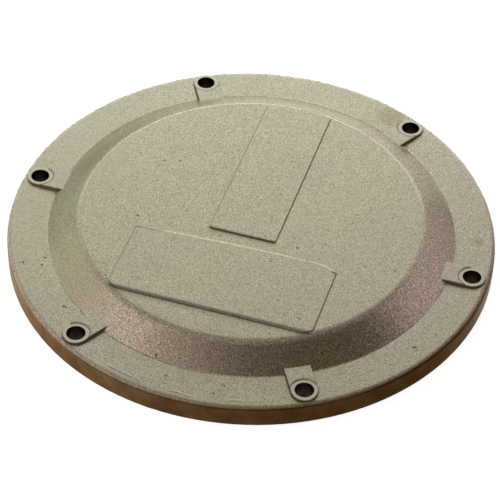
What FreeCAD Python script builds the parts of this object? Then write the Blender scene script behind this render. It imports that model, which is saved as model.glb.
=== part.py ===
"""Round inspection cover: one aluminium casting with a flat bolted flange, a sloped wall and a raised crown."""
import FreeCAD, Part
import math
import os
import Sketcher

# Driving dimensions in millimetres, one named value each.
SIZES = [
    ("rim_radius", 175.0, "turned outside of the flange"),
    ("rim_height", 16.8, "seat face to the top of the flange"),
    ("rim_round", 3.5, "rounded top edge of the rim"),
    ("foot_chamfer", 1.0, "broken edges of the seat face"),
    ("flange_width", 28.5, "rim to the foot of the sloped wall"),
    ("wall_run", 23.0, "sloped wall measured level"),
    ("wall_rise", 12.5, "sloped wall measured upright"),
    ("wall_thickness", 6.5, "casting thickness of wall and crown"),
    ("wall_foot_round", 3.0, "hollow curve where the wall leaves the flange"),
    ("crown_round", 7.0, "rounded edge of the crown"),
    ("seat_lap", 8.5, "seat face reaching in under the wall"),
    ("hollow_round", 5.0, "rounded corner round the hollow's roof"),
    ("bolt_count", 6, "bolt holes on the circle"),
    ("bolt_inset", 12.5, "rim to the bolt circle"),
    ("bolt_hole_radius", 6.5, "clearance hole for a 12 mm bolt"),
    ("boss_radius", 9.0, "round end of a bolt boss, half its width"),
    ("boss_rise", 2.5, "boss top above the flange"),
    ("spot_overlap", 0.4, "spot face beyond the boss end"),
    ("spot_depth", 0.6, "spot face below the boss top"),
    ("plate_rise", 1.1, "blank plates above the crown"),
    ("plate_margin", 0.3, "plates kept in from the crown's rounded edge"),
    ("plate_corner", 2.5, "rounded corners of the plates"),
    ("plate_edge", 0.4, "broken top edges of the plates"),
    ("upper_half_width", 24.6, "upper plate, half its width"),
    ("upper_near", 23.0, "upper plate, near end from the centre"),
    ("lower_half_width", 73.8, "lower plate, half its width"),
    ("lower_trim", 3.5, "lower plate, near corners cut off along the crown's edge"),
    ("lower_far_left", 39.2, "lower plate, far edge from the centre at the left"),
    ("lower_far_right", 34.2, "lower plate, far edge from the centre at the right"),
    ("lower_cut_run", 15.8, "cut corner of the lower plate along its far edge"),
    ("lower_cut_drop", 6.0, "cut corner of the lower plate along its side"),
]

# Places worked out from the driving dimensions.
WALL_FOOT = "Dims.rim_radius - Dims.flange_width"
CROWN = "Dims.rim_radius - Dims.flange_width - Dims.wall_run"
CROWN_TOP = "Dims.rim_height + Dims.wall_rise"
BORE = "Dims.rim_radius - Dims.flange_width - Dims.seat_lap"
BOLT_CIRCLE = "Dims.rim_radius - Dims.bolt_inset"
BOSS_TOP = "Dims.rim_height + Dims.boss_rise"
BOSS_ROOT = "Dims.rim_radius - Dims.flange_width - Dims.seat_lap + Dims.boss_rise"
PLATE_LIMIT = CROWN + " - Dims.plate_margin - Dims.crown_round * tan(atan(Dims.wall_rise / Dims.wall_run) / 2)"
LOWER_NEAR = "sqrt((" + PLATE_LIMIT + " + Dims.lower_trim) ^ 2 - Dims.lower_half_width ^ 2)"

# Number that a sketch gives to its own origin, and how close two places count as one.
ORIGIN = (-1, 1)
TOLERANCE = 0.001

doc = FreeCAD.newDocument("inspection_cover")
sheet = doc.addObject("Spreadsheet::Sheet", "Dims")
for row, (alias, number, note) in enumerate(SIZES, start=1):
    sheet.set(f"A{row}", alias)
    sheet.set(f"B{row}", str(number))
    sheet.set(f"C{row}", note)
    sheet.setAlias(f"B{row}", alias)
doc.recompute()

body = doc.addObject("PartDesign::Body", "cover")
body.Label = "cover"
origin = {feature.Role: feature for feature in body.Origin.OriginFeatures}


def value(expression):
    """Number that an expression on the sheet gives."""
    result = sheet.evalExpression(expression)
    return float(getattr(result, "Value", result))


def new_sketch(name, plane, level=None):
    """Empty sketch on an origin plane of the body, raised to a level if one is given."""
    sketch = body.newObject("Sketcher::SketchObject", name)
    sketch.AttachmentSupport = [(origin[plane], "")]
    sketch.MapMode = "FlatFace"
    if level:
        sketch.setExpression("AttachmentOffset.Base.z", level)
    return sketch


def outline(sketch, corners):
    """Closed chain of straight lines through the corners, joined end to end."""
    points = [FreeCAD.Vector(x, y, 0) for x, y in corners]
    following = points[1:] + points[:1]
    lines = [sketch.addGeometry(Part.LineSegment(a, b), False) for a, b in zip(points, following)]
    for line, after in zip(lines, lines[1:] + lines[:1]):
        sketch.addConstraint(Sketcher.Constraint("Coincident", line, 2, after, 1))
    return lines


def own_axis(letter):
    """Number that a sketch gives to its own X or Y axis."""
    return -1 - "XY".index(letter)


def rule(sketch, kind, *places):
    """Geometric constraint without a size."""
    sketch.addConstraint(Sketcher.Constraint(kind, *places))


def size(sketch, name, expression, kind, *places):
    """Dimension of a sketch, bound to the sheet."""
    number = sketch.addConstraint(Sketcher.Constraint(kind, *places, value(expression)))
    sketch.renameConstraint(number, name)
    sketch.setExpression("Constraints." + name, expression)


def feature(kind, name, grows, **settings):
    """Next feature of the body, which has to add or take away material."""
    before = 0 if body.Shape.isNull() else body.Shape.Volume
    item = body.newObject("PartDesign::" + kind, name)
    for key, setting in settings.items():
        if isinstance(setting, str) and setting.startswith("="):
            item.setExpression(key, setting[1:])
        else:
            setattr(item, key, setting)
    body.Tip = item
    doc.recompute()
    change = body.Shape.Volume - before
    if change * grows <= 0:
        raise RuntimeError(f"{name} changed the volume by {change:.3f} mm3")
    return item


def ring(radius, level):
    """Name of the circular edge about the cover's axis at this radius and level."""
    for number, edge in enumerate(body.Shape.Edges, start=1):
        curve = edge.Curve
        if isinstance(curve, Part.Circle):
            miss = abs(curve.Radius - radius) + math.hypot(curve.Center.x, curve.Center.y)
            if miss + abs(curve.Center.z - level) < TOLERANCE:
                return f"Edge{number}"
    raise RuntimeError(f"no ring of radius {radius} at {level}")


def edges_between(low, high):
    """Names of the edges of the plates that start at one level and end at another."""
    found = []
    for number, edge in enumerate(body.Shape.Edges, start=1):
        box = edge.BoundBox
        if abs(box.ZMin - low) < TOLERANCE and abs(box.ZMax - high) < TOLERANCE:
            found.append(f"Edge{number}")
    return found


# Section of the casting: crown, sloped wall, flange and the hollow under them, turned about the axis.
foot = value(WALL_FOOT)
crown = value(CROWN)
crown_top = value(CROWN_TOP)
bore = value(BORE)
rim = value("Dims.rim_radius")
flange_top = value("Dims.rim_height")
ceiling = crown_top - value("Dims.wall_thickness")
slope = value("Dims.wall_rise / Dims.wall_run")

section = new_sketch("section", "XZ_Plane")
roof, inner_wall, bore_wall, seat, rim_wall, flange, outer_wall, top, axis = outline(section, [
    (0, ceiling),
    (crown, ceiling),
    (bore, ceiling - slope * (bore - crown)),
    (bore, 0),
    (rim, 0),
    (rim, flange_top),
    (foot, flange_top),
    (crown, crown_top),
    (0, crown_top),
])
for level in (roof, seat, flange, top):
    rule(section, "Horizontal", level)
for upright in (bore_wall, rim_wall, axis):
    rule(section, "Vertical", upright)
rule(section, "PointOnObject", seat, 1, own_axis("X"))
rule(section, "PointOnObject", axis, 1, own_axis("Y"))
rule(section, "Parallel", inner_wall, outer_wall)
size(section, "rim", "Dims.rim_radius", "DistanceX", *ORIGIN, rim_wall, 1)
size(section, "flange", "Dims.flange_width", "DistanceX", outer_wall, 1, rim_wall, 2)
size(section, "run", "Dims.wall_run", "DistanceX", outer_wall, 2, outer_wall, 1)
size(section, "height", "Dims.rim_height", "DistanceY", *ORIGIN, rim_wall, 2)
size(section, "rise", "Dims.wall_rise", "DistanceY", outer_wall, 1, outer_wall, 2)
size(section, "lap", "Dims.seat_lap", "DistanceX", bore_wall, 2, outer_wall, 1)
size(section, "crown_wall", "Dims.wall_thickness", "DistanceY", inner_wall, 1, outer_wall, 2)
size(section, "slope_wall", "Dims.wall_thickness", "Distance", inner_wall, 2, outer_wall)
doc.recompute()
casting = feature("Revolution", "casting", 1, Profile=section, ReferenceAxis=(section, ["V_Axis"]), Angle=360.0)

# Rounded and broken edges of the turned section.
rim_top = feature("Fillet", "rim_top", -1, Base=(casting, [ring(rim, flange_top)]), Radius="=Dims.rim_round")
crown_edge = feature("Fillet", "crown_edge", -1, Base=(rim_top, [ring(crown, crown_top)]),
                     Radius="=Dims.crown_round")
wall_foot = feature("Fillet", "wall_foot", 1, Base=(crown_edge, [ring(foot, flange_top)]),
                    Radius="=Dims.wall_foot_round")
roof_corner = section.Geometry[inner_wall].StartPoint
hollow = feature("Fillet", "hollow", 1, Base=(wall_foot, [ring(roof_corner.x, roof_corner.y)]),
                 Radius="=Dims.hollow_round")
seat_edges = feature("Chamfer", "seat_edges", -1, Base=(hollow, [ring(rim, 0), ring(bore, 0)]),
                     Size="=Dims.foot_chamfer")

# Bolt boss: straight sides running out of the sloped wall, a round end about the hole, a spot face on top.
bolt_circle = value(BOLT_CIRCLE)
boss_half = value("Dims.boss_radius")
boss_root = value(BOSS_ROOT)


def level_line(sketch, start, end):
    """Straight line of a plan between two corners."""
    return sketch.addGeometry(Part.LineSegment(FreeCAD.Vector(*start, 0), FreeCAD.Vector(*end, 0)), False)


def bolt_disc(name, level, radius):
    """Sketch of a circle on the first bolt's axis."""
    sketch = new_sketch(name, "XY_Plane", level)
    centre = FreeCAD.Vector(bolt_circle, 0, 0)
    disc = sketch.addGeometry(Part.Circle(centre, FreeCAD.Vector(0, 0, 1), value(radius)), False)
    rule(sketch, "PointOnObject", disc, 3, own_axis("X"))
    size(sketch, "circle", BOLT_CIRCLE, "DistanceX", *ORIGIN, disc, 3)
    size(sketch, "disc", radius, "Radius", disc)
    doc.recompute()
    return sketch


boss_plan = new_sketch("boss_plan", "XY_Plane", "Dims.rim_height - Dims.rim_round")
right_side = level_line(boss_plan, (boss_root, -boss_half), (bolt_circle, -boss_half))
boss_circle = Part.Circle(FreeCAD.Vector(bolt_circle, 0, 0), FreeCAD.Vector(0, 0, 1), boss_half)
boss_end = boss_plan.addGeometry(Part.ArcOfCircle(boss_circle, -math.pi / 2, math.pi / 2), False)
left_side = level_line(boss_plan, (bolt_circle, boss_half), (boss_root, boss_half))
root_side = level_line(boss_plan, (boss_root, boss_half), (boss_root, -boss_half))
rule(boss_plan, "Tangent", right_side, 2, boss_end, 1)
rule(boss_plan, "Tangent", boss_end, 2, left_side, 1)
rule(boss_plan, "Coincident", left_side, 2, root_side, 1)
rule(boss_plan, "Coincident", root_side, 2, right_side, 1)
rule(boss_plan, "Horizontal", right_side)
rule(boss_plan, "Horizontal", left_side)
rule(boss_plan, "Vertical", root_side)
rule(boss_plan, "PointOnObject", boss_end, 3, own_axis("X"))
size(boss_plan, "circle", BOLT_CIRCLE, "DistanceX", *ORIGIN, boss_end, 3)
size(boss_plan, "end", "Dims.boss_radius", "Radius", boss_end)
size(boss_plan, "root", BOSS_ROOT, "DistanceX", *ORIGIN, root_side, 1)
doc.recompute()
boss = feature("Pad", "boss", 1, Profile=boss_plan, Length="=Dims.boss_rise + Dims.rim_round")
spot_plan = bolt_disc("spot_plan", BOSS_TOP, "Dims.boss_radius + Dims.spot_overlap")
spot_face = feature("Pocket", "spot_face", -1, Profile=spot_plan, Length="=Dims.spot_depth")
hole_plan = bolt_disc("hole_plan", BOSS_TOP, "Dims.bolt_hole_radius")
bolt_hole = feature("Pocket", "bolt_hole", -1, Profile=hole_plan, Type="ThroughAll")
bolt_ring = feature("PolarPattern", "bolt_ring", -1, Originals=[boss, spot_face, bolt_hole],
                    Axis=(origin["Z_Axis"], [""]), Angle=360.0, Occurrences="=Dims.bolt_count")

# Two blank plates raised on the crown, both centred on the cover's axis and trimmed to the crown's flat.
half = value("Dims.upper_half_width")
near = value("Dims.upper_near")
upper_plan = new_sketch("upper_plan", "XY_Plane", CROWN_TOP)
near_edge, right_edge, far_edge, left_edge = outline(upper_plan, [
    (-half, -near),
    (half, -near),
    (half, crown),
    (-half, crown),
])
rule(upper_plan, "Symmetric", near_edge, 1, near_edge, 2, own_axis("Y"))
rule(upper_plan, "Horizontal", far_edge)
rule(upper_plan, "Vertical", right_edge)
rule(upper_plan, "Vertical", left_edge)
size(upper_plan, "half_width", "Dims.upper_half_width", "DistanceX", *ORIGIN, near_edge, 2)
size(upper_plan, "near_end", "Dims.upper_near", "DistanceY", near_edge, 2, *ORIGIN)
size(upper_plan, "far_end", CROWN, "DistanceY", *ORIGIN, far_edge, 1)
doc.recompute()
upper_plate = feature("Pad", "upper_plate", 1, Profile=upper_plan, Length="=Dims.plate_rise")

half = value("Dims.lower_half_width")
near = value(LOWER_NEAR)
far_left = value("Dims.lower_far_left")
far_right = value("Dims.lower_far_right")
cut_run = value("Dims.lower_cut_run")
cut_drop = value("Dims.lower_cut_drop")
lower_plan = new_sketch("lower_plan", "XY_Plane", CROWN_TOP)
near_edge, right_edge, cut_edge, far_edge, left_edge = outline(lower_plan, [
    (-half, -near),
    (half, -near),
    (half, -far_right - cut_drop),
    (half - cut_run, -far_right),
    (-half, -far_left),
])
rule(lower_plan, "Symmetric", near_edge, 1, near_edge, 2, own_axis("Y"))
rule(lower_plan, "Vertical", right_edge)
rule(lower_plan, "Vertical", left_edge)
size(lower_plan, "half_width", "Dims.lower_half_width", "DistanceX", *ORIGIN, near_edge, 2)
size(lower_plan, "near_end", LOWER_NEAR, "DistanceY", near_edge, 2, *ORIGIN)
size(lower_plan, "far_left", "Dims.lower_far_left", "DistanceY", far_edge, 2, *ORIGIN)
size(lower_plan, "far_right", "Dims.lower_far_right", "DistanceY", far_edge, 1, *ORIGIN)
size(lower_plan, "cut_run", "Dims.lower_cut_run", "DistanceX", cut_edge, 2, cut_edge, 1)
size(lower_plan, "cut_drop", "Dims.lower_cut_drop", "DistanceY", cut_edge, 1, cut_edge, 2)
doc.recompute()
lower_plate = feature("Pad", "lower_plate", 1, Profile=lower_plan, Length="=Dims.plate_rise")

limit = value(PLATE_LIMIT)
plate_top = crown_top + value("Dims.plate_rise")
trim_plan = new_sketch("trim_plan", "XZ_Plane")
trim_foot, trim_outside, trim_top, trim_inside = outline(trim_plan, [
    (limit, crown_top),
    (rim, crown_top),
    (rim, plate_top),
    (limit, plate_top),
])
for edge in (trim_foot, trim_top):
    rule(trim_plan, "Horizontal", edge)
for edge in (trim_outside, trim_inside):
    rule(trim_plan, "Vertical", edge)
size(trim_plan, "limit", PLATE_LIMIT, "DistanceX", *ORIGIN, trim_foot, 1)
size(trim_plan, "outside", "Dims.rim_radius", "DistanceX", *ORIGIN, trim_foot, 2)
size(trim_plan, "foot", CROWN_TOP, "DistanceY", *ORIGIN, trim_foot, 1)
size(trim_plan, "rise", "Dims.plate_rise", "DistanceY", trim_foot, 2, trim_top, 1)
doc.recompute()
plate_trim = feature("Groove", "plate_trim", -1, Profile=trim_plan, ReferenceAxis=(trim_plan, ["V_Axis"]),
                     Angle=360.0)
plate_corners = feature("Fillet", "plate_corners", -1, Base=(plate_trim, edges_between(crown_top, plate_top)),
                        Radius="=Dims.plate_corner")
plate_edges = feature("Chamfer", "plate_edges", -1, Base=(plate_corners, edges_between(plate_top, plate_top)),
                      Size="=Dims.plate_edge")

for item in doc.Objects:
    if "Invalid" in item.State or "Error" in item.State:
        raise RuntimeError(f"{item.Name} failed: {item.State}")
shape = body.Shape
if shape.isNull() or not shape.isValid() or len(shape.Solids) != 1:
    raise RuntimeError("the cover is not one valid solid")
os.makedirs("parts", exist_ok=True)
shape.exportStep(f"parts/{body.Label}.step")
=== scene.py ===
"""Looks of the round inspection cover: sand-cast skin, turned rim, casting marks and a pale studio."""
import math
from types import SimpleNamespace

import bpy
import numpy as np
from bpy.props import FloatProperty, FloatVectorProperty, IntProperty, PointerProperty
from bpy.types import Operator, Panel, PropertyGroup
from mathutils import Matrix, Vector


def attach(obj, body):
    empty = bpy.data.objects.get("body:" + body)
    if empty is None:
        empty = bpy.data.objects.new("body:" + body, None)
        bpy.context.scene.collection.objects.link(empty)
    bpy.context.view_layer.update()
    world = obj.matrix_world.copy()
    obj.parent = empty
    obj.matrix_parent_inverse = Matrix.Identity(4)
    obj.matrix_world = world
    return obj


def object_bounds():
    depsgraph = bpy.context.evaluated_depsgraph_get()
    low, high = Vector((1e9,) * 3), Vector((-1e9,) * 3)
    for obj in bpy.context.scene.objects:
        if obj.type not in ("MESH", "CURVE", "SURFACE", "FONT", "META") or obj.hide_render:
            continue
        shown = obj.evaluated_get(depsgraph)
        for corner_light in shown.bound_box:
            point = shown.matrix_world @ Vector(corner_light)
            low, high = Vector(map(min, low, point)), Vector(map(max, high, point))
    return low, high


bl_info = {
    "name": "Inspection cover looks",
    "version": (1, 0, 0),
    "blender": (4, 5, 0),
    "location": "3D View > Sidebar > Cover",
    "description": "Cast skin, turned rim, casting marks and stage of a round inspection cover",
    "category": "Object",
}

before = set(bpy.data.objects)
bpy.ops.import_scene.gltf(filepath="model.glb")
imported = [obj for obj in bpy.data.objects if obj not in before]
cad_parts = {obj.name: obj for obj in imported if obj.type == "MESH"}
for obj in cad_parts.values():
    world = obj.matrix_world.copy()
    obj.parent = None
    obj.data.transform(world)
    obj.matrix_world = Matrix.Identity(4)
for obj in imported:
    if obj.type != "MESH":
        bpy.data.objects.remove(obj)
CAD_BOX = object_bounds()
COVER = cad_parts["cover"]
BODY = "root"
MM = 0.001

# Levels and radii of the casting in millimetres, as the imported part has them.
RIM = CAD_BOX[1].x / MM
RIM_ROUND = 3.5
FLANGE_TOP = 16.8
WALL_FOOT = 146.5
CROWN_FLAT = 121.4
CROWN_EDGE = 123.5
CROWN_TOP = 29.3
PLATE_TOP = CAD_BOX[1].z / MM
BOLT_CIRCLE = 162.5
BOLT_COUNT = 6
HOLE = 6.5
BOSS = 9.0
BOSS_TOP = 19.3
SPOT = 9.4
# Plan of the upper and the lower plate: least x, least y, greatest x, greatest y.
PLATES = ((-24.6, -23.0, 24.6, 121.4), (-73.8, -100.8, 73.8, -39.2))
# Painted shadow on and before the near edge of each plate in millimetres: how far back it goes, where it is
# full, and how far back the painted shade at the plate's foot begins. Then how dark it is at most.
PLATE_SHADOW = ((1.7, 0.0, 0.2), (3.2, 0.7, 0.9))
PLATE_SHADOW_DEPTH = 0.77
# Level directions in the cover's own frame along which its skin changes.
LEFT = (-0.92, -0.39, 0)
FAR_LEFT = (-0.876, 0.482, 0)
FAR_SIDES = (0.83, 0.56, 0)
NEAR = (0.279, -0.96, 0)
NEAR_RIGHT = (0.515, -0.857, 0)
RIGHT = (0.72, -0.69, 0)

# Marks read off the photo, in millimetres: x, y, radius of a pit.
PITS = (
    (-128.7, -77.2, 0.8), (-128.2, -84.6, 0.8), (-141.5, -86.5, 0.8), (-144.1, -87.4, 0.5),
    (-98.7, -117.9, 1.0), (-96.6, -118.6, 0.5), (140.8, -77.4, 1.1), (142.6, -79.6, 0.6),
    (-10.8, -156.6, 0.7), (28.8, -152.5, 0.5), (24.4, -161.5, 0.6), (-76.9, -27.4, 0.8), (58.2, -12.6, 0.5),
    (-77.6, -91.4, 0.6), (-75.9, -94.2, 0.5), (87.3, 59.0, 0.4), (111.4, -22.2, 0.6), (40.4, -22.4, 0.8),
    (-22.9, -142.0, 0.7), (-22.2, -143.4, 0.5),
)
# Sand lumps that stand out: x, y, radius.
LUMPS = (
    (71.5, 24.6, 0.9), (61.9, -88.8, 1.2), (60.2, -88.2, 0.8), (-77.9, 34.9, 1.2), (-67.5, 38.5, 1.1),
    (15.8, -18.7, 0.9), (13.9, -16.9, 0.7), (17.2, -20.3, 0.6), (27.2, -42.2, 1.0),
)
# Brown stains on the flange, one by a boss and a smaller one on the right: x, y, reach.
STAINS = ((63.8, 150.5, 16), (158.1, 38.5, 7))
# Flash ridges: start, middle and end of each in plan, then half its width, its height, how far the middle of
# its section is sunk, as a share of the section's half height, and the level it stands on. The last two make
# the soft far edge of the lower plate.
RIDGES = (
    ((-54.0, -159.1), (-41.0, -162.7), (-25.5, -166.1), 1.5, 0.08, 0.9, FLANGE_TOP),
    ((-8.1, -168.8), (1.7, -168.2), (12.3, -169.5), 1.3, 0.08, 0.9, FLANGE_TOP),
    ((31.5, -166.3), (39.9, -163.1), (49.5, -162.3), 1.3, 0.08, 0.9, FLANGE_TOP),
    ((-73.0, -39.1), (-6.5, -36.6), (60.0, -34.2), 4.4, 1.13, 0.9, CROWN_TOP),
    ((50.0, -34.9), (62.0, -36.2), (74.4, -39.5), 4.0, 1.1, 0.9, CROWN_TOP),
)
# How far below the surface the sunk part of a ridge is cut flat, and how much rougher the plate's edge is.
RIDGE_DEPTH = 1.5
EDGE_SAND = 0.12

# Soft panels round the cover: name, place and aim in metres seen from the camera's side, width and height,
# brightness and tint.
LAMPS = (
    ("back_wall", (0, 0.8, 0.8), (0, 0, 0.8), (1.8, 0.9), 0.62, "#F5F3FF"),
    ("back_left", (-0.3, 0.82, 0.65), (-0.3, 0, 0.65), (1.2, 1.2), 0.24, "#E0FFDA"),
    ("back_band", (0, 1.2, 0.5), (0, 0, 0.5), (1.8, 0.3), 1.88, "#EDF6FF"),
    ("back_far", (0.3, 1.22, 0.35), (0.3, 0, 0.35), (1.2, 0.6), 0.32, "#FFEEF0"),
    ("left", (-0.743, 0, 0.689), (0, 0, 0.02), (0.4, 0.75), 0.8, "#FFF4FD"),
    ("left_back", (-0.734, 0.424, 0.55), (0, 0, 0.02), (0.4, 0.4), 0.72, "#FBFFF0"),
    ("left_front", (-0.435, -0.435, 0.808), (0, 0, 0.02), (0.72, 0.4), 0.66, "#FFEDF8"),
    ("right", (0.819, 0.219, 0.55), (0, 0, 0.02), (0.84, 0.4), 0.62, "#FFECFD"),
    ("right_back", (0.657, 0.657, 0.4), (0, 0, 0.02), (0.25, 0.3), 0.3, "#FFD8E1"),
    ("front", (0, -0.85, 0.42), (0, 0, 0.1), (2.2, 0.5), 0.7, "#FFFFFF"),
    ("top", (0, 0.03, 1.02), (0, 0, 0), (0.5, 0.36), 0.5, "#FFFFFF"),
)
# Half the floor's width in metres, its glow to camera and mirror rays, and the width of the camera's sensor
# in millimetres.
FLOOR_REACH = 4.0
FLOOR_GLOW = 0.82
SENSOR = 36


def linear(code):
    """Linear colour of an sRGB hex code."""
    value = np.array([int(code[i:i + 2], 16) for i in (1, 3, 5)]) / 255
    return tuple(np.where(value <= 0.04045, value / 12.92, ((value + 0.055) / 1.055) ** 2.4).tolist())


def colour_property(name, description, code):
    """Colour setting with an sRGB hex code as its default."""
    return FloatVectorProperty(
        name=name, description=description, subtype="COLOR", size=3, min=0, max=1, default=linear(code))


class FinishSettings(PropertyGroup):
    """Colours and grain of the cover's finish."""
    cast_green: colour_property("Skin, cool patches", "Tone of the skin where it is greenish", "#BCB7A0")
    cast_pink: colour_property("Skin, warm patches", "Tone of the skin where it is pinkish", "#BDB5A0")
    # Painted shade on the far left of the sloped wall.
    far_wall_shade: colour_property("Skin, dull wall", "Dull tone of the sloped wall at the far left", "#988D6A")
    machined: colour_property("Machined faces", "Bright metal of the spot faces and the seat", "#C4C0AA")
    # Painted shade at the feet of the plates and bosses and along the step round each spot face.
    shade: colour_property("Dust line", "Dull dust along the feet of plates and bosses", "#8A7A66")
    stain: colour_property("Stain", "Brown stain on the flange", "#A0937A")
    # Painted reflection of a brown surface on the turned rim: brighter on the left, painted shade on the
    # right, and its tint at grazing angles.
    rim_reflection_pale: colour_property("Rim, far left", "Turned rim where its film is thinnest", "#8E7650")
    rim_reflection_lit: colour_property("Rim, left", "Golden brown film on the turned rim", "#755B3D")
    rim_deep: colour_property("Rim, right", "Brown film on the turned rim where it is thick", "#3F2C18")
    rim_reflection_slant: colour_property("Rim, at a slant", "Tint of the rim's film seen at a slant", "#CCC2B8")
    # Painted shade and painted highlight on the skin above the turned rim.
    rim_shoulder_shade: colour_property("Rim, top edge", "Soiled sandy edge above the turned rim", "#8F7C5C")
    rim_shoulder_light: colour_property("Rim, worn edge", "Bright worn edge above the rim on the left", "#D9CCBB")
    # Painted shadow in the bolt holes and in the pits.
    bore_shadow: colour_property("Bolt holes", "Dark oxide in the bolt holes", "#2A1F14")
    grain: FloatProperty(
        name="Grain", description="Width of a sand grain print in millimetres", default=0.34, min=0.2, max=4)
    speckle: FloatProperty(
        name="Speckle", description="How far the grains differ in tone", default=0.6, min=0, max=1)
    # On the sloped wall this spread of tone makes painted glints.
    sparkle: FloatProperty(
        name="Sparkle", description="The same on the sloped wall", default=0.63, min=0, max=1)
    lean: FloatProperty(
        name="Lean", description="How far the grains lean, as a share of upright",
        default=0.11, min=0, max=1)
    roughness: FloatProperty(
        name="Roughness", description="Roughness of each grain", subtype="FACTOR", default=0.3, min=0, max=1)
    patch: FloatProperty(
        name="Patches", description="Width of the soft tone patches in millimetres",
        default=45, min=5, max=200)


class MarkSettings(PropertyGroup):
    """Casting marks: pits, sand lumps and flash ridges."""
    lump_count: IntProperty(
        name="Small lumps", description="Scattered sand lumps", default=160, min=0, max=1000)
    lump_size: FloatProperty(
        name="Lump size", description="Mean radius of a scattered lump in millimetres",
        default=0.5, min=0.1, max=2)
    rim_lumps: IntProperty(
        name="Rim lumps", description="Sand lumps along the rounded edge of the rim",
        default=700, min=0, max=3000)
    pit_lip: FloatProperty(
        name="Pit lip", description="Height of the lip round a pit in millimetres",
        default=0.16, min=0, max=1)
    seed: IntProperty(name="Seed", description="Start of the random places", default=11)


class StageSettings(PropertyGroup):
    """Camera and lamps of the studio."""
    azimuth: FloatProperty(
        name="View azimuth", description="Camera round the cover", subtype="ANGLE",
        default=math.radians(16.21))
    elevation: FloatProperty(
        name="View elevation", description="Camera above the floor", subtype="ANGLE",
        default=math.radians(43.9))
    roll: FloatProperty(
        name="View roll", description="Camera turned about its own axis", subtype="ANGLE",
        default=math.radians(1.906))
    aim_down: FloatProperty(
        name="Aim down", description="Camera turned down from the middle of the seat", subtype="ANGLE",
        default=math.radians(0.1547))
    aim_left: FloatProperty(
        name="Aim left", description="Camera turned left from the middle of the seat", subtype="ANGLE",
        default=math.radians(0.0229))
    distance: FloatProperty(
        name="View distance", description="Camera to the middle of the seat", subtype="DISTANCE",
        default=1.598)
    lens: FloatProperty(
        name="Lens", description="Focal length in millimetres", unit="CAMERA", default=158.97)
    light: FloatProperty(name="Light", description="Brightness of all panels together", default=1.0, min=0)
    ambient: FloatProperty(name="Ambient", description="Light from all round", default=0.1, min=0, max=2)
    room: colour_property("Room", "Tint of the light from all round", "#FFDCB5")


def add(tree, kind, links=None, **settings):
    """New shader node with its settings; each link names an input and gives a value, a node or a socket."""
    node = tree.nodes.new("ShaderNode" + kind)
    for key, setting in settings.items():
        setattr(node, key, setting)
    for key, source in (links or {}).items():
        if isinstance(key, int):
            socket = node.inputs[key]
        else:
            socket = next(s for s in node.inputs if s.enabled and s.name == key)
        if isinstance(source, bpy.types.Node):
            source = next(s for s in source.outputs if s.enabled)
        if isinstance(source, bpy.types.NodeSocket):
            tree.links.new(source, socket)
        else:
            socket.default_value = source
    return node


def new_material(name):
    """Empty node material and its tree."""
    material = bpy.data.materials.new(name)
    material.use_nodes = True
    material.node_tree.nodes.clear()
    return material, material.node_tree


def casting_places(tree):
    """Values that the casting's finish goes by, as sockets.

    They are the place, its x, y, level and radius, how far it lies towards the near side and the right, and
    its distances to the nearest bolt axis and to the middle line of the nearest boss. For the last two the
    plan is folded into one sixth about the cover's axis.
    """
    place = add(tree, "TexCoord").outputs["Object"]
    parts = add(tree, "SeparateXYZ", {0: place})
    flat = add(tree, "VectorMath", {0: place, 1: (1, 1, 0)}, operation="MULTIPLY")
    radius = add(tree, "VectorMath", {0: flat}, operation="LENGTH").outputs["Value"]
    near = add(tree, "VectorMath", {0: place, 1: NEAR}, operation="DOT_PRODUCT")
    right = add(tree, "VectorMath", {0: place, 1: RIGHT}, operation="DOT_PRODUCT")
    turn = add(tree, "Math", {0: parts.outputs["Y"], 1: parts.outputs["X"]}, operation="ARCTAN2")
    half = math.pi / BOLT_COUNT
    fold = add(tree, "Math", {0: turn, 1: half, 2: -half}, operation="WRAP")
    along = add(tree, "Math", {0: fold}, operation="COSINE")
    along = add(tree, "Math", {0: along, 1: radius}, operation="MULTIPLY")
    across = add(tree, "Math", {0: fold}, operation="SINE")
    across = add(tree, "Math", {0: across, 1: radius}, operation="MULTIPLY")
    out = add(tree, "Math", {0: along, 1: BOLT_CIRCLE * MM}, operation="SUBTRACT")
    past = add(tree, "Math", {0: out, 1: 0.0}, operation="MAXIMUM")
    bolt = add(tree, "VectorMath", {0: add(tree, "CombineXYZ", {0: out, 1: across})}, operation="LENGTH")
    boss = add(tree, "VectorMath", {0: add(tree, "CombineXYZ", {0: past, 1: across})}, operation="LENGTH")
    return SimpleNamespace(
        place=place, x=parts.outputs["X"], y=parts.outputs["Y"], level=parts.outputs["Z"], radius=radius,
        near=near.outputs["Value"], right=right.outputs["Value"], bolt=bolt.outputs["Value"],
        boss=boss.outputs["Value"])


def band(tree, value, middle, none, full, most=1.0):
    """Mask about a middle value, all in millimetres: nothing from one distance on, full up to another."""
    away = add(tree, "Math", {0: value, 1: middle * MM}, operation="SUBTRACT")
    away = add(tree, "Math", {0: away}, operation="ABSOLUTE")
    return add(tree, "MapRange", {0: away, 1: none * MM, 2: full * MM, 4: most})


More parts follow.
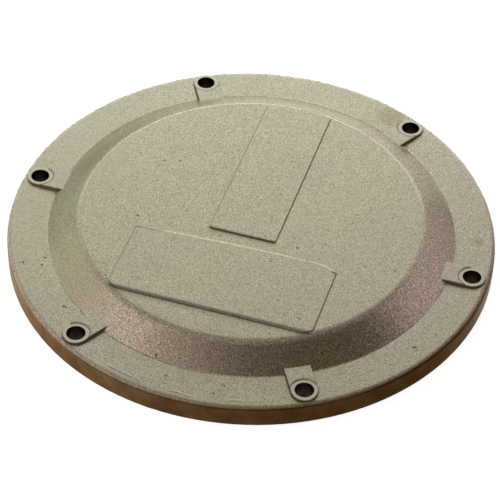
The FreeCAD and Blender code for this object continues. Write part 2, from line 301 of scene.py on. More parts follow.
def wall_masks(tree, at):
    """Masks of what lies above the rim's round, of what is clear of the bosses, and of the sloped wall."""
    upper = add(tree, "MapRange", {0: at.level, 1: (FLANGE_TOP - 2) * MM, 2: (FLANGE_TOP - 1) * MM})
    clear = add(tree, "MapRange", {0: at.boss, 1: (BOSS - 0.1) * MM, 2: (BOSS + 0.1) * MM})
    above = add(tree, "MapRange", {0: at.level, 1: (BOSS_TOP + 0.05) * MM, 2: (BOSS_TOP + 0.2) * MM})
    clear = add(tree, "Math", {0: clear, 1: above}, operation="MAXIMUM")
    wall = add(tree, "MapRange", {0: at.level, 1: (CROWN_TOP - 0.1) * MM, 2: (CROWN_TOP - 0.7) * MM})
    inner = add(tree, "MapRange", {0: at.radius, 1: (WALL_FOOT + 0.5) * MM, 2: (WALL_FOOT - 0.5) * MM})
    wall = add(tree, "Math", {0: wall, 1: inner}, operation="MULTIPLY")
    wall = add(tree, "Math", {0: wall, 1: clear}, operation="MULTIPLY")
    return upper, clear, wall


def rim_masks(tree, at):
    """Masks of the rim's rounded shoulder, of its side towards the near right, which takes painted shade,
    and of its turned face, which is higher there.
    """
    shoulder = RIM - RIM_ROUND
    rounded = add(tree, "MapRange", {0: at.radius, 1: shoulder * MM, 2: (shoulder + 0.8) * MM})
    deep = add(tree, "MapRange", {0: at.right, 1: 0.15 * RIM * MM, 2: 0.95 * RIM * MM})
    start = add(tree, "MapRange", {0: deep, 3: (RIM - 0.9) * MM, 4: (RIM - 1.45) * MM})
    full = add(tree, "MapRange", {0: deep, 3: (RIM - 0.3) * MM, 4: (RIM - 0.7) * MM})
    turned = add(tree, "MapRange", {0: at.radius, 1: start, 2: full}, interpolation_type="SMOOTHSTEP")
    return rounded, deep, turned


def grain_tone(tree, at, finish):
    """Tone of each grain's print, as a factor on the skin's colour.

    The sloped wall has the sandiest print, with painted glints of bright grains and a smoother stretch on
    its left.
    """
    left = add(tree, "VectorMath", {0: at.place, 1: LEFT}, operation="DOT_PRODUCT").outputs["Value"]
    sparkle = add(tree, "MapRange", {0: left, 1: 90 * MM, 2: 122 * MM, 3: finish.sparkle,
                                     4: 0.43 * finish.sparkle}, interpolation_type="SMOOTHSTEP")
    speckle = add(tree, "MapRange", {0: at.x, 1: -90 * MM, 2: -145 * MM, 3: finish.speckle,
                                     4: 0.65 * finish.speckle})
    spread = add(tree, "Mix", {"Factor": at.wall, "A": speckle, "B": sparkle})
    tone = add(tree, "SeparateColor", {0: at.grains})
    even = add(tree, "MapRange", {0: tone, 3: -1.0, 4: 1.0})
    painted_glint = add(tree, "Math", {0: tone, 1: 2.0}, operation="POWER")
    painted_glint = add(tree, "Math", {0: painted_glint, 1: 3.0, 2: -1.0}, operation="MULTIPLY_ADD")
    speck = add(tree, "Mix", {"Factor": at.wall, "A": even, "B": painted_glint})
    return add(tree, "Math", {0: speck, 1: spread, 2: 1.0}, operation="MULTIPLY_ADD")


def cast_skin(tree, at, finish):
    """Colour of the skin before its grain: soft patches, painted shade on the far left of the wall, painted
    light at the wall's foot on the near side, brown stains, and painted highlight and shade above the rim.
    """
    warm = add(tree, "MapRange", {0: at.patches, 1: 0.35, 2: 0.65})
    skin = add(tree, "Mix", {"Factor": warm, "A": (*finish.cast_green, 1), "B": (*finish.cast_pink, 1)},
               data_type="RGBA")

    # Painted shade: the wall is darker where it faces away to the left, most of all at its top.
    far = add(tree, "VectorMath", {0: at.place, 1: FAR_LEFT}, operation="DOT_PRODUCT").outputs["Value"]
    far = add(tree, "MapRange", {0: far, 1: 95 * MM, 2: 133 * MM}, interpolation_type="SMOOTHSTEP")
    high = add(tree, "MapRange", {0: at.radius, 1: (WALL_FOOT - 16) * MM, 2: (WALL_FOOT - 3) * MM,
                                  3: 1.0, 4: 0.2})
    wall_shade_mask = add(tree, "Math", {0: at.wall, 1: far}, operation="MULTIPLY")
    wall_shade_mask = add(tree, "Math", {0: wall_shade_mask, 1: high}, operation="MULTIPLY")
    skin = add(tree, "Mix", {"Factor": wall_shade_mask, "A": skin, "B": (*finish.far_wall_shade, 1)}, data_type="RGBA")

    # Painted light: the skin is paler in the corner at the wall's foot on the near side.
    corner_light = band(tree, at.radius, WALL_FOOT + 0.1, 1.4, 0.3)
    close = add(tree, "VectorMath", {0: at.place, 1: NEAR_RIGHT}, operation="DOT_PRODUCT").outputs["Value"]
    close = add(tree, "MapRange", {0: close, 1: 70 * MM, 2: 115 * MM})
    corner_light = add(tree, "Math", {0: corner_light, 1: close}, operation="MULTIPLY")
    corner_light = add(tree, "Math", {0: corner_light, 1: at.clear}, operation="MULTIPLY")
    corner_light = add(tree, "MapRange", {0: corner_light, 3: 1.0, 4: 1.35})
    skin = add(tree, "Mix", {"Factor": 1.0, "A": skin, "B": corner_light}, data_type="RGBA", blend_type="MULTIPLY")

    # The stains have ragged edges, which follow the patches.
    for x, y, reach in STAINS:
        spot = (x * MM, y * MM, FLANGE_TOP * MM)
        away = add(tree, "VectorMath", {0: at.place, 1: spot}, operation="DISTANCE").outputs["Value"]
        ragged = add(tree, "Math", {0: at.patches, 1: -reach * MM, 2: away}, operation="MULTIPLY_ADD")
        stain = add(tree, "MapRange", {0: ragged, 1: reach * 0.4 * MM, 2: -reach * 0.4 * MM, 4: 0.55},
                    interpolation_type="SMOOTHSTEP")
        skin = add(tree, "Mix", {"Factor": stain, "A": skin, "B": (*finish.stain, 1)}, data_type="RGBA")

    # Painted highlight above the turned rim, with painted shade towards the near right.
    edge = add(tree, "MapRange", {0: at.radius, 1: (RIM - 2.8) * MM, 2: (RIM - 1.4) * MM})
    painted = add(tree, "Mix", {"Factor": at.deep, "A": (*finish.rim_shoulder_light, 1), "B": (*finish.rim_shoulder_shade, 1)},
               data_type="RGBA")
    return add(tree, "Mix", {"Factor": edge, "A": skin, "B": painted}, data_type="RGBA")


def rim_reflection(tree, at, finish):
    """Painted reflection of a brown surface on the turned rim: lit brighter on the left, painted shade
    towards the right-hand front, blotched.
    """
    lit_side = add(tree, "MapRange", {0: at.right, 1: -0.2 * RIM * MM, 2: 0.15 * RIM * MM})
    reflection = add(tree, "Mix", {"Factor": lit_side, "A": (*finish.rim_reflection_pale, 1), "B": (*finish.rim_reflection_lit, 1)},
               data_type="RGBA")
    reflection = add(tree, "Mix", {"Factor": at.deep, "A": reflection, "B": (*finish.rim_deep, 1)}, data_type="RGBA")
    behind = add(tree, "MapRange", {0: at.right, 1: -0.6 * RIM * MM, 2: -0.9 * RIM * MM})
    reflection = add(tree, "Mix", {"Factor": behind, "A": reflection, "B": (*finish.rim_reflection_lit, 1)}, data_type="RGBA")
    blotch = add(tree, "TexNoise", {0: at.place, "Scale": 1 / (14 * MM), "Detail": 2.0})
    blotch = add(tree, "MapRange", {0: blotch, 1: 0.3, 2: 0.7, 3: 0.72, 4: 1.28})
    return add(tree, "Mix", {"Factor": 1.0, "A": reflection, "B": blotch}, data_type="RGBA", blend_type="MULTIPLY")


def plate_shadow(tree, at, plate, near_shadow, skin):
    """Skin with a painted shadow on a plate's near edge: on its top for a little way, before its foot for
    some way.
    """
    low_x, low_y, high_x, _ = plate
    back, full, _ = near_shadow
    ahead = add(tree, "Math", {0: low_y * MM, 1: at.y}, operation="SUBTRACT")
    near_shadow = add(tree, "MapRange", {0: ahead, 1: -back * MM, 2: -full * MM, 4: PLATE_SHADOW_DEPTH})
    fade = add(tree, "MapRange", {0: ahead, 1: 6 * MM, 2: 0.0, 4: 0.28})
    fade = add(tree, "MapRange", {0: ahead, 1: -full * MM, 2: 0.1 * MM, 3: PLATE_SHADOW_DEPTH, 4: fade})
    near_shadow = add(tree, "Math", {0: near_shadow, 1: fade}, operation="MINIMUM")
    half = (high_x - low_x) / 2
    beside = band(tree, at.x, (low_x + high_x) / 2, half + 2, half - 2)
    near_shadow = add(tree, "Math", {0: near_shadow, 1: beside}, operation="MULTIPLY")
    near_shadow = add(tree, "Math", {0: near_shadow, 1: at.on_crown}, operation="MULTIPLY")
    near_shadow = add(tree, "MapRange", {0: near_shadow, 3: 1.0, 4: 0.0})
    return add(tree, "Mix", {"Factor": 1.0, "A": skin, "B": near_shadow}, data_type="RGBA", blend_type="MULTIPLY")


def plate_gap(tree, at, plate, inset):
    """Distance in plan to a plate, taken a little smaller than it is; inside it the distance is nothing."""
    low_x, low_y, high_x, high_y = plate
    centre = (((low_x + high_x) / 2 - 0.2) * MM, ((low_y + high_y) / 2 + inset) * MM, 0)
    size = (((high_x - low_x) / 2 - 0.6) * MM, (high_y - low_y) / 2 * MM, 1)
    away = add(tree, "VectorMath", {0: at.place, 1: centre}, operation="SUBTRACT")
    away = add(tree, "VectorMath", {0: away}, operation="ABSOLUTE")
    away = add(tree, "VectorMath", {0: away, 1: size}, operation="SUBTRACT")
    away = add(tree, "VectorMath", {0: away, 1: (0, 0, 0)}, operation="MAXIMUM")
    return add(tree, "VectorMath", {0: away}, operation="LENGTH").outputs["Value"]


def plate_foot_shade(tree, at):
    """Mask of the painted shade in the corners at the feet of the two plates, on the crown's flat."""
    upper, lower = (plate_gap(tree, at, plate, inset) for plate, (_, _, inset) in zip(PLATES, PLATE_SHADOW))
    gap = add(tree, "Math", {0: lower, 1: upper}, operation="MINIMUM")
    shade = add(tree, "MapRange", {0: gap, 1: 0.0, 2: 1.6 * MM, 3: 0.8, 4: 0.0})
    under = add(tree, "MapRange", {0: at.level, 1: (PLATE_TOP - 0.25) * MM, 2: (PLATE_TOP - 0.45) * MM})
    on_flat = add(tree, "MapRange", {0: at.radius, 1: (CROWN_FLAT + 0.8) * MM, 2: CROWN_FLAT * MM})
    shade = add(tree, "Math", {0: shade, 1: under}, operation="MULTIPLY")
    shade = add(tree, "Math", {0: shade, 1: at.on_crown}, operation="MULTIPLY")
    return add(tree, "Math", {0: shade, 1: on_flat}, operation="MULTIPLY")


def boss_foot_shade(tree, at):
    """Masks of the painted shade at the foot of each boss on the flange, and of the painted shadow along the
    step round each spot face.
    """
    ring = add(tree, "MapRange", {0: at.boss, 1: BOSS * MM, 2: (BOSS + 1.3) * MM, 3: 1.0, 4: 0.0})
    outer = add(tree, "MapRange", {0: at.radius, 1: (WALL_FOOT - 7) * MM, 2: (WALL_FOOT - 5) * MM})
    below = add(tree, "MapRange", {0: at.level, 1: (FLANGE_TOP + 1.8) * MM, 2: (FLANGE_TOP + 0.6) * MM,
                                   4: 0.7})
    foot = add(tree, "Math", {0: ring, 1: at.upper}, operation="MULTIPLY")
    foot = add(tree, "Math", {0: foot, 1: outer}, operation="MULTIPLY")
    foot = add(tree, "Math", {0: foot, 1: below}, operation="MULTIPLY")
    lip = band(tree, at.bolt, SPOT + 0.4, 0.7, 0.2, 0.5)
    on_boss = add(tree, "MapRange", {0: at.level, 1: (BOSS_TOP - 0.3) * MM, 2: (BOSS_TOP - 0.1) * MM})
    lip = add(tree, "Math", {0: lip, 1: on_boss}, operation="MULTIPLY")
    return foot, lip


def shaded_skin(tree, at, finish, skin):
    """Skin with its painted shade at the feet of plates and bosses, and how strong that shade is."""
    foot, lip = boss_foot_shade(tree, at)
    shade = add(tree, "Math", {0: plate_foot_shade(tree, at), 1: foot}, operation="ADD")
    shade = add(tree, "Math", {0: shade, 1: lip}, operation="ADD")
    colour = add(tree, "Mix", {"Factor": shade, "A": skin, "B": (*finish.shade, 1)}, data_type="RGBA")
    # Painted shade: it is darkest at the feet of the bosses, but for the one on the left.
    shade_depth = add(tree, "MapRange", {0: at.x, 1: -150 * MM, 2: -110 * MM, 3: 0.2, 4: 0.85})
    shade_depth = add(tree, "Math", {0: shade_depth, 1: foot}, operation="MULTIPLY")
    shade_depth = add(tree, "Math", {0: lip, 1: 0.6, 2: shade_depth}, operation="MULTIPLY_ADD")
    shade_depth = add(tree, "MapRange", {0: shade_depth, 3: 1.0, 4: 0.0})
    colour = add(tree, "Mix", {"Factor": 1.0, "A": colour, "B": shade_depth}, data_type="RGBA",
                 blend_type="MULTIPLY")
    return colour, shade


def machined_faces(tree, at, finish, colour):
    """Colour with the smooth spot faces and seat, and where these lie.

    The tool leaves rings about each bolt axis and about the cover's own axis, drawn wider than real ones to
    show.
    """
    spot_face = add(tree, "MapRange", {0: at.bolt, 1: (SPOT + 0.1) * MM, 2: (SPOT - 0.1) * MM})
    raised = add(tree, "MapRange", {0: at.level, 1: (FLANGE_TOP + 0.9) * MM, 2: (FLANGE_TOP + 1.4) * MM})
    spot_face = add(tree, "Math", {0: spot_face, 1: raised}, operation="MULTIPLY")
    seat = add(tree, "MapRange", {0: at.level, 1: 0.3 * MM, 2: 0.1 * MM})
    machined = add(tree, "Math", {0: spot_face, 1: seat}, operation="MAXIMUM")
    middle = add(tree, "Mix", {"Factor": seat, "A": at.bolt, "B": at.radius})
    rings = add(tree, "Math", {0: middle, 1: 2 * math.pi / (0.9 * MM)}, operation="MULTIPLY")
    rings = add(tree, "Math", {0: rings}, operation="SINE")
    rings = add(tree, "MapRange", {0: rings, 1: -1.0, 3: 0.93, 4: 1.07})
    bright = add(tree, "Mix", {"Factor": 1.0, "A": (*finish.machined, 1), "B": rings}, data_type="RGBA",
                 blend_type="MULTIPLY")
    return add(tree, "Mix", {"Factor": machined, "A": colour, "B": bright}, data_type="RGBA"), machined


def grain_facing(tree, at, finish, smooth):
    """Normal of the skin: each grain leans its own way by a little, which makes it sparkle.

    Turned faces have no grain. Slow swells lie under it all.
    """
    lean = add(tree, "VectorMath", {0: at.grains, 1: (0.5, 0.5, 0.5)}, operation="SUBTRACT")
    share = add(tree, "MapRange", {0: at.rounded, 3: finish.lean, 4: 4 * finish.lean})
    share = add(tree, "Mix", {"Factor": smooth, "A": share, "B": 0.0})
    lean = add(tree, "VectorMath", {0: lean, "Scale": share}, operation="SCALE")
    swell = add(tree, "TexNoise", {0: at.place, "Scale": 1 / (9 * MM), "Detail": 2.0}).outputs["Color"]
    swell = add(tree, "VectorMath", {0: swell, 1: (0.5, 0.5, 0.5)}, operation="SUBTRACT")
    lean = add(tree, "VectorMath", {0: swell, 1: (0.025, 0.025, 0.025), 2: lean}, operation="MULTIPLY_ADD")
    # On its far half the wall runs out softly into the flange: its normal turns upwards near the foot.
    most = add(tree, "MapRange", {0: at.near, 1: -20 * MM, 2: -80 * MM, 4: 0.42})
    hollow = add(tree, "MapRange", {0: at.radius, 1: (WALL_FOOT - 5.5) * MM, 2: (WALL_FOOT - 0.8) * MM,
                                    4: most})
    hollow = add(tree, "Math", {0: hollow, 1: at.wall}, operation="MULTIPLY")
    hollow = add(tree, "Math", {0: hollow, 1: at.upper}, operation="MULTIPLY")
    lean = add(tree, "VectorMath", {0: add(tree, "CombineXYZ", {2: hollow}), 1: lean}, operation="ADD")
    normal = add(tree, "NewGeometry").outputs["Normal"]
    facing = add(tree, "VectorMath", {0: normal, 1: lean}, operation="ADD")
    return add(tree, "VectorMath", {0: facing}, operation="NORMALIZE")


def skin_roughness(tree, at, finish):
    """Roughness of the skin, which follows the patches, with more sand on its rounded edges.

    Sand clings to the crown's crest and the rim's shoulder, mostly on the near side, to the wall's foot on
    both far sides, and to the points of a piece that are marked as sandy.
    """
    rough = add(tree, "MapRange", {0: at.patches, 3: finish.roughness - 0.04, 4: finish.roughness + 0.04})
    sand = add(tree, "MapRange", {0: at.near, 1: -CROWN_EDGE * MM, 2: CROWN_EDGE * MM, 4: 0.22})
    shoulder = add(tree, "Math", {0: at.rounded, 1: at.turned}, operation="SUBTRACT", use_clamp=True)
    rough = add(tree, "Math", {0: shoulder, 1: sand, 2: rough}, operation="MULTIPLY_ADD")
    wing = add(tree, "Math", {0: at.x}, operation="ABSOLUTE")
    wing = add(tree, "CombineXYZ", {0: wing, 1: at.y})
    far = add(tree, "VectorMath", {0: wing, 1: FAR_SIDES}, operation="DOT_PRODUCT").outputs["Value"]
    far = add(tree, "MapRange", {0: far, 1: 85 * MM, 2: 120 * MM}, interpolation_type="SMOOTHSTEP")
    sand = add(tree, "Math", {0: far, 1: 0.06, 2: sand}, operation="MULTIPLY_ADD")
    crest = band(tree, at.radius, CROWN_EDGE, 4, 1)
    outside = add(tree, "MapRange", {0: at.level, 1: (CROWN_TOP - 5) * MM, 2: (CROWN_TOP - 4) * MM})
    crest = add(tree, "Math", {0: crest, 1: outside}, operation="MULTIPLY")
    rough = add(tree, "Math", {0: crest, 1: sand, 2: rough}, operation="MULTIPLY_ADD")
    brink = band(tree, at.radius, WALL_FOOT + 0.3, 1.6, 0.4, 0.13)
    rough = add(tree, "Math", {0: brink, 1: far, 2: rough}, operation="MULTIPLY_ADD")
    sandy = add(tree, "Attribute", attribute_name="sandy").outputs["Fac"]
    return add(tree, "Math", {0: rough, 1: sandy}, operation="ADD")


def cast_aluminium(finish):
    """Sand-cast aluminium: poured into a sand mould, with its rim, seat and spot faces machined.

    To the eye it is a matt beige grey with the glitter of sand grains, partly painted, smooth bright faces
    round the bolt holes, painted shadow in the bolt holes and a painted brown reflection on the rim.
    """
    material, tree = new_material("sand_cast_aluminium")
    at = casting_places(tree)
    at.upper, at.clear, at.wall = wall_masks(tree, at)
    at.rounded, at.deep, at.turned = rim_masks(tree, at)
    at.on_crown = add(tree, "MapRange", {0: at.level, 1: (CROWN_TOP - 0.5) * MM, 2: (CROWN_TOP - 0.1) * MM})
    at.patches = add(tree, "TexNoise", {0: at.place, "Scale": 1 / (finish.patch * MM), "Detail": 2.0})
    # Each cell is the print of one sand grain, drawn about as wide as a pixel of the photo so that it shows.
    at.grains = add(tree, "TexVoronoi", {0: at.place, "Scale": 1 / (finish.grain * MM)}).outputs["Color"]

    skin, tone = cast_skin(tree, at, finish), grain_tone(tree, at, finish)
    colour = add(tree, "Mix", {"Factor": 1.0, "A": skin, "B": tone}, data_type="RGBA", blend_type="MULTIPLY")
    for plate, near_shadow in zip(PLATES, PLATE_SHADOW):
        colour = plate_shadow(tree, at, plate, near_shadow, colour)
    colour, shade = shaded_skin(tree, at, finish, colour)
    colour, machined = machined_faces(tree, at, finish, colour)
    reflection = rim_reflection(tree, at, finish)
    colour = add(tree, "Mix", {"Factor": at.turned, "A": colour, "B": reflection}, data_type="RGBA")

    # Painted shadow: the drilled walls of the bolt holes are painted dark, and the pits carry the same
    # painted shadow, marked on their mesh.
    bore = add(tree, "MapRange", {0: at.bolt, 1: (HOLE + 0.25) * MM, 2: (HOLE + 0.05) * MM})
    pit = add(tree, "Attribute", attribute_name="pit").outputs["Fac"]
    shadow = add(tree, "Math", {0: bore, 1: pit}, operation="MAXIMUM")
    colour = add(tree, "Mix", {"Factor": shadow, "A": colour, "B": (*finish.bore_shadow, 1)}, data_type="RGBA")

    # The painted shade at the feet is no metal, and the rim's painted brown reflection also tints what the
    # rim mirrors at grazing angles.
    loose = add(tree, "Math", {0: shade, 1: shadow}, operation="SUBTRACT", use_clamp=True)
    bare = add(tree, "Math", {0: 1.0, 1: loose}, operation="SUBTRACT")
    white = (*linear("#FFFFFF"), 1)
    slant = add(tree, "Mix", {"Factor": at.turned, "A": white, "B": (*finish.rim_reflection_slant, 1)},
                data_type="RGBA")
    smooth = add(tree, "Math", {0: at.turned, 1: machined}, operation="MAXIMUM")
    shader = add(tree, "BsdfPrincipled", {
        "Base Color": colour, "Metallic": bare, "Roughness": skin_roughness(tree, at, finish),
        "Specular Tint": slant, "Normal": grain_facing(tree, at, finish, smooth)})
    add(tree, "OutputMaterial", {"Surface": shader})
    return material


def studio_floor():
    """Plain white floor: it keeps soft shadows, and camera and mirror rays see it as white."""
    material, tree = new_material("pale_floor")
    path = add(tree, "LightPath")
    seen = add(tree, "Math", {0: path.outputs["Is Camera Ray"], 1: path.outputs["Is Glossy Ray"]},
               operation="MAXIMUM")
    seen = add(tree, "Math", {0: seen, 1: path.outputs["Is Transmission Ray"]}, operation="MAXIMUM")
    glow = add(tree, "Math", {0: seen, 1: FLOOR_GLOW}, operation="MULTIPLY")
    paint = add(tree, "BsdfDiffuse", {"Color": (*linear("#E7E7E7"), 1)})
    light = add(tree, "Emission", {"Color": (*linear("#FFFFFF"), 1), "Strength": glow})
    add(tree, "OutputMaterial", {"Surface": add(tree, "AddShader", {0: paint, 1: light})})
    return material


def soft_panel(name, place, aim, size, brightness, colour):
    """Rectangular area lamp at a place, turned to a point, with the brightness that its face shows."""
    lamp = bpy.data.lights.new(name, "AREA")
    lamp.shape = "RECTANGLE"
    lamp.size, lamp.size_y = size
    lamp.energy = math.pi * size[0] * size[1] * brightness
    lamp.color = colour
    item = bpy.data.objects.new(name, lamp)
    item.location = place
    item.rotation_mode = "QUATERNION"
    item.rotation_quaternion = (aim - item.location).to_track_quat("-Z", "Y")
    bpy.context.scene.collection.objects.link(item)


def mark_points(piece, name, values):
    """Give each point of a piece a named value, which the material reads."""
    mark = piece.data.attributes.new(name, "FLOAT", "POINT")
    mark.data.foreach_set("value", values.astype(np.float32))


def closed_pieces(name, points):
    """Closed shapes from grids of points in millimetres.

    The points are numbered by shape, row and column. Each row is a ring that closes on itself; the first and
    the last row are drawn together into poles, which come last in each shape. Seen from outside with the
    rows running up, the columns run to the right, so that faces point outwards.
    """
    shapes, rows, columns, _ = points.shape
    poles = points[:, (0, -1)].mean(axis=2)
    corners = np.concatenate([points[:, 1:-1].reshape(shapes, -1, 3), poles], axis=1)
    count = corners.shape[1]
    ring = np.arange(count - 2).reshape(rows - 2, columns)
    after = np.roll(ring, -1, axis=1)
    first, last = np.full(columns, count - 2), np.full(columns, count - 1)
    quads = np.stack([ring[:-1], after[:-1], after[1:], ring[1:]], axis=-1).reshape(-1, 4)
    caps = np.concatenate([np.stack([first, after[0], ring[0]], axis=-1),
                           np.stack([last, ring[-1], after[-1]], axis=-1)])
    start = np.arange(shapes)[:, None, None] * count
    faces = [*(start + quads).reshape(-1, 4).tolist(), *(start + caps).reshape(-1, 3).tolist()]
    mesh = bpy.data.meshes.new(name)
    mesh.from_pydata((corners.reshape(-1, 3) * MM).tolist(), [], faces)
    mesh.shade_smooth()
    mesh.materials.append(COVER.data.materials[0])
    piece = bpy.data.objects.new(name, mesh)
    bpy.context.scene.collection.objects.link(piece)
    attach(piece, BODY)
    return piece


def level_at(x, y, clear):
    """Height of the casting's top face at plan points, and which of them lie clear of every edge."""
    radius = np.hypot(x, y)
    on_crown = radius < CROWN_FLAT - clear
    foot_margin = 2.0
    on_flange = (radius > WALL_FOOT + foot_margin + clear) & (radius < RIM - RIM_ROUND - clear)
    half = math.pi / BOLT_COUNT
    fold = (np.arctan2(y, x) + half) % (2 * half) - half
    boss = np.hypot(np.maximum(radius * np.cos(fold) - BOLT_CIRCLE, 0), radius * np.sin(fold))
    on_flange &= boss > BOSS + clear
    slope = (CROWN_TOP - FLANGE_TOP) / (WALL_FOOT - CROWN_EDGE)
    height = np.clip(FLANGE_TOP + slope * (WALL_FOOT - radius), FLANGE_TOP, CROWN_TOP)
    free = on_crown | on_flange
    for low_x, low_y, high_x, high_y in PLATES:
        inside = np.minimum.reduce([x - low_x, high_x - x, y - low_y, high_y - y])
        height = np.where(inside > 0, PLATE_TOP, height)
        free &= np.abs(inside) > clear
    return height, free


def scattered_lumps(marks, random):
    """Lumps at random places on the disc, kept where they lie clear of edges and bosses: x, y, radius."""
    clearance = 2.5
    tries = marks.lump_count * 3
    radius = RIM * np.sqrt(random.uniform(0, 1, tries))
    angle = random.uniform(0, 2 * math.pi, tries)
    x, y = radius * np.cos(angle), radius * np.sin(angle)
    _, free = level_at(x, y, clearance)
    keep = np.flatnonzero(free)[:marks.lump_count]
    if len(keep) < marks.lump_count:
        raise RuntimeError("too few clear places for the lumps")
    size = marks.lump_size * random.uniform(0.6, 1.4, marks.lump_count)
    return np.stack([x[keep], y[keep], size])


def rim_lumps(marks, random):
    """Lumps on the quarter round of the rim's edge, at random turns and bends: x, y, level, radius."""
    angle = random.uniform(0, 2 * math.pi, marks.rim_lumps)
    bend = random.uniform(0.7, 1.4, marks.rim_lumps)
    radius = RIM - RIM_ROUND * (1 - np.cos(bend))
    level = FLANGE_TOP - RIM_ROUND * (1 - np.sin(bend))
    size = marks.lump_size * random.uniform(0.6, 1.5, marks.rim_lumps)
    return np.stack([radius * np.cos(angle), radius * np.sin(angle), level, size])


class COVER_OT_finish(Operator):
    """Give the casting its cast skin, the turned rim with its painted reflection, and painted shadow in the
    bolt holes
    """
    bl_idname = "cover.finish"
    bl_label = "Finish the casting"

    def execute(self, context):
        COVER.data.materials[0] = cast_aluminium(context.scene.cover_finish)
        return {"FINISHED"}


class COVER_OT_pits(Operator):
    """Add the gas pits of the casting

    Each pit is a profile turned about an upright line: a floor with painted shadow, a low lip and a skirt
    that closes below the surface. Its outline swells with the second and third wave round the turn.
    """
    bl_idname = "cover.pits"
    bl_label = "Add pits"

    def execute(self, context):
        marks = context.scene.cover_marks
        random = np.random.default_rng(marks.seed)
        x, y, size = np.array(PITS).T
        turn = np.linspace(0, 2 * math.pi, 12, endpoint=False)
        phase = random.uniform(0, 2 * math.pi, (2, len(x), 1))
        swell = 1 + 0.22 * np.sin(2 * turn + phase[0]) + 0.12 * np.sin(3 * turn + phase[1])
        # The profile from below: reach as a share of the radius, rise in millimetres, and how dark its
        # painted shadow is.
        reach = np.array([0, 1.2, 1.35, 1.0, 0.8, 0.45, 0])
        rise = np.array([-0.4, -0.4, -0.02, marks.pit_lip, 0.1, 0.04, 0.04])
        dark = np.array([0, 0, 0, 0.3, 0.8, 0.85, 0.85])
        wide = size[:, None, None] * reach[None, :, None] * swell[:, None, :]
        x, y = x[:, None, None] + wide * np.cos(turn), y[:, None, None] + wide * np.sin(turn)
        height, _ = level_at(x, y, 0)
        points = np.stack([x, y, height + rise[None, :, None]], axis=-1)
        piece = closed_pieces("gas_pits", points)
        each = np.concatenate([np.repeat(dark[1:-1], len(turn)), dark[[0, -1]]])
        mark_points(piece, "pit", np.tile(each, len(PITS)))
        return {"FINISHED"}


class COVER_OT_lumps(Operator):
    """Add sand lumps to the skin

    Each lump is an ellipsoid with its middle in the surface, so its upper half stands out as a low dome.
    Some are scattered over the disc, some stand where the photo shows them, and more lie on the rim's round.
    """
    bl_idname = "cover.lumps"
    bl_label = "Add sand lumps"

    def execute(self, context):
        marks = context.scene.cover_marks
        random = np.random.default_rng(marks.seed)
        x, y, size = np.concatenate([scattered_lumps(marks, random), np.array(LUMPS).T], axis=1)
        height, _ = level_at(x, y, 0)
        lumps = np.concatenate([np.stack([x, y, height, size]), rim_lumps(marks, random)], axis=1)
        x, y, height, size = lumps[:, :, None, None]
        tilt = np.linspace(math.pi, 0, 5)[:, None]
        turn = np.linspace(0, 2 * math.pi, 8, endpoint=False)
        stretch = random.uniform(0.7, 1.3, (len(x), 1, 1))
        lowness = 0.45
        wide = size * np.sin(tilt)
        points = np.stack([x + wide * stretch * np.cos(turn), y + wide / stretch * np.sin(turn),
                           height + size * lowness * np.cos(tilt) + 0 * turn], axis=-1)
        closed_pieces("sand_lumps", points)
        return {"FINISHED"}


class COVER_OT_ridges(Operator):
    """Add the flash ridges near the rim and the raised far edge of the lower plate

    Each ridge follows the parabola through its start, middle and end. Its section is an ellipse sunk so far
    that only a cap of the wanted width and height stands out of the surface, cut flat a little below it. The
    section swells from nothing at the start to its full size and back to nothing at the end.
    """
    bl_idname = "cover.ridges"
    bl_label = "Add flash ridges"

    def execute(self, context):
        marks = context.scene.cover_marks
        random = np.random.default_rng(marks.seed)
        three = np.array([ridge[:3] for ridge in RIDGES])
        half, rise, sink, height = np.array([ridge[3:] for ridge in RIDGES]).T[:, :, None, None]
        t = np.linspace(0, 1, 41)
        weight = np.stack([2 * (t - 0.5) * (t - 1), 4 * t * (1 - t), 2 * t * (t - 0.5)])
        path = np.einsum("kt,nkc->ntc", weight, three)[:, :, None, :]
        step = np.gradient(path, axis=1)
        step /= np.linalg.norm(step, axis=-1, keepdims=True)
        swell = np.sin(math.pi * t) ** 0.4 * (1 + random.uniform(-0.05, 0.05, (len(RIDGES), len(t))))
        swell = swell[:, :, None]
        turn = np.linspace(0, 2 * math.pi, 20, endpoint=False)
        wide = half / np.sqrt(1 - sink ** 2) * swell * np.cos(turn)
        tall = np.maximum(rise / (1 - sink) * swell * (np.sin(turn) - sink), -RIDGE_DEPTH)
        points = np.stack([path[..., 0] - step[..., 1] * wide, path[..., 1] + step[..., 0] * wide,
                           height + tall], axis=-1)
        piece = closed_pieces("flash_ridges", points)
        sandy = np.where(height.ravel() > FLANGE_TOP, EDGE_SAND, 0)
        mark_points(piece, "sandy", np.repeat(sandy, len(piece.data.vertices) // len(RIDGES)))
        return {"FINISHED"}


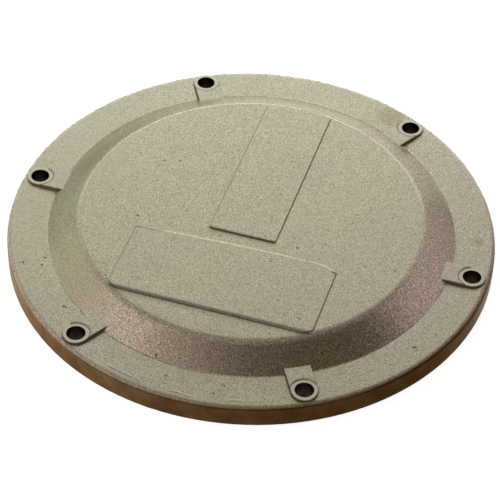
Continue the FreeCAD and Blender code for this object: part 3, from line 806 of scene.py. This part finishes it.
class COVER_OT_stage(Operator):
    """Set the floor, the lamps and the camera"""
    bl_idname = "cover.stage"
    bl_label = "Set the stage"

    def execute(self, context):
        stage = context.scene.cover_stage
        floor = bpy.data.meshes.new("floor")
        edge = FLOOR_REACH
        floor.from_pydata([(-edge, -edge, 0), (edge, -edge, 0), (edge, edge, 0), (-edge, edge, 0)], [],
                          [(0, 1, 2, 3)])
        floor.materials.append(studio_floor())
        ground = bpy.data.objects.new("floor", floor)
        context.scene.collection.objects.link(ground)

        world = bpy.data.worlds.new("studio")
        world.use_nodes = True
        world.node_tree.nodes["Background"].inputs["Color"].default_value = (*stage.room, 1)
        world.node_tree.nodes["Background"].inputs["Strength"].default_value = stage.ambient
        context.scene.world = world

        spin = Matrix.Rotation(stage.azimuth, 4, "Z")
        for name, place, aim, size, brightness, tint in LAMPS:
            soft_panel(name, spin @ Vector(place), spin @ Vector(aim), size, stage.light * brightness,
                       linear(tint))

        camera = bpy.data.cameras.new("camera")
        camera.sensor_width = SENSOR
        camera.lens = stage.lens
        eye = bpy.data.objects.new("camera", camera)
        tilt = Matrix.Rotation(math.pi / 2 - stage.elevation, 4, "X")
        back = Matrix.Translation((0, 0, stage.distance))
        aim = Matrix.Rotation(-stage.aim_down, 4, "X") @ Matrix.Rotation(stage.aim_left, 4, "Y")
        eye.matrix_world = spin @ tilt @ back @ aim @ Matrix.Rotation(stage.roll, 4, "Z")
        context.scene.collection.objects.link(eye)
        context.scene.camera = eye
        context.scene.view_settings.view_transform = "Standard"
        return {"FINISHED"}


class COVER_PT_panel(Panel):
    """Finish, casting marks and stage of the inspection cover"""
    bl_label = "Inspection cover"
    bl_idname = "COVER_PT_panel"
    bl_space_type = "VIEW_3D"
    bl_region_type = "UI"
    bl_category = "Cover"

    def draw(self, context):
        for group, operators in (
            (context.scene.cover_finish, (COVER_OT_finish,)),
            (context.scene.cover_marks, (COVER_OT_pits, COVER_OT_lumps, COVER_OT_ridges)),
            (context.scene.cover_stage, (COVER_OT_stage,)),
        ):
            for key in group.__annotations__:
                self.layout.prop(group, key)
            for operator in operators:
                self.layout.operator(operator.bl_idname)


GROUPS = {"cover_finish": FinishSettings, "cover_marks": MarkSettings, "cover_stage": StageSettings}
CLASSES = (*GROUPS.values(), COVER_OT_finish, COVER_OT_pits, COVER_OT_lumps, COVER_OT_ridges, COVER_OT_stage,
           COVER_PT_panel)


def register():
    """Register the classes and their settings."""
    for item in CLASSES:
        bpy.utils.register_class(item)
    for name, group in GROUPS.items():
        setattr(bpy.types.Scene, name, PointerProperty(type=group))


def unregister():
    """Take the settings and the classes out again."""
    for name in GROUPS:
        delattr(bpy.types.Scene, name)
    for item in reversed(CLASSES):
        bpy.utils.unregister_class(item)


def main():
    """Register the add-on, and make the cover's looks and the stage."""
    register()
    bpy.ops.cover.stage()
    bpy.ops.cover.finish()
    bpy.ops.cover.pits()
    bpy.ops.cover.lumps()
    bpy.ops.cover.ridges()


if __name__ == "__main__":
    main()
